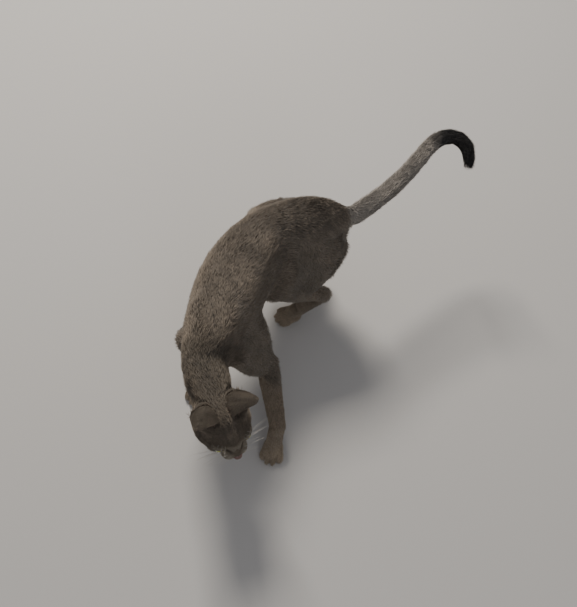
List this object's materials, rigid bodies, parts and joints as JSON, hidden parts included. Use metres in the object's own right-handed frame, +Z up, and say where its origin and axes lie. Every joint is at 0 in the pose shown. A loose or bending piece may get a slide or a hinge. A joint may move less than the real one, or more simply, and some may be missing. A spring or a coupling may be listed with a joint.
{
  "type": "domestic cat",
  "caption": "Live short-haired domestic cat, life size, walking with its body bent to its left, head low and tail held out behind with a hooked tip.",
  "frame": {"origin": "middle of the bounding box's underside, on the floor", "axes": "the cat faces -Y and its left side is towards +X; +Z up; its body bends towards +X in front"},
  "size_m": [0.251, 0.6116, 0.232],
  "materials": {
    "fur": "short ticked grey-brown coat",
    "dark_fur": "short near-black coat of the tail tip",
    "nose_leather": "moist bare skin",
    "eye": "wet, smooth"
  },
  "bodies": {
    "root": {"belly": "fur", "chest": "fur", "ear_left": "fur", "ear_right": "fur", "eye_left": "eye", "eye_right": "eye", "foreleg_left_lower": "fur", "foreleg_left_upper": "fur", "foreleg_right_lower": "fur", "foreleg_right_upper": "fur", "forepaw_left": "fur", "forepaw_right": "fur", "head": "fur", "hindleg_left_lower": "fur", "hindleg_left_upper": "fur", "hindleg_right_lower": "fur", "hindleg_right_upper": "fur", "hindpaw_left": "fur", "hindpaw_right": "fur", "neck": "fur", "nose": "nose_leather", "rump": "fur", "tail_base": "fur", "tail_far": "fur", "tail_middle": "fur", "tail_tip": "dark_fur"}
  },
  "joints": []
}
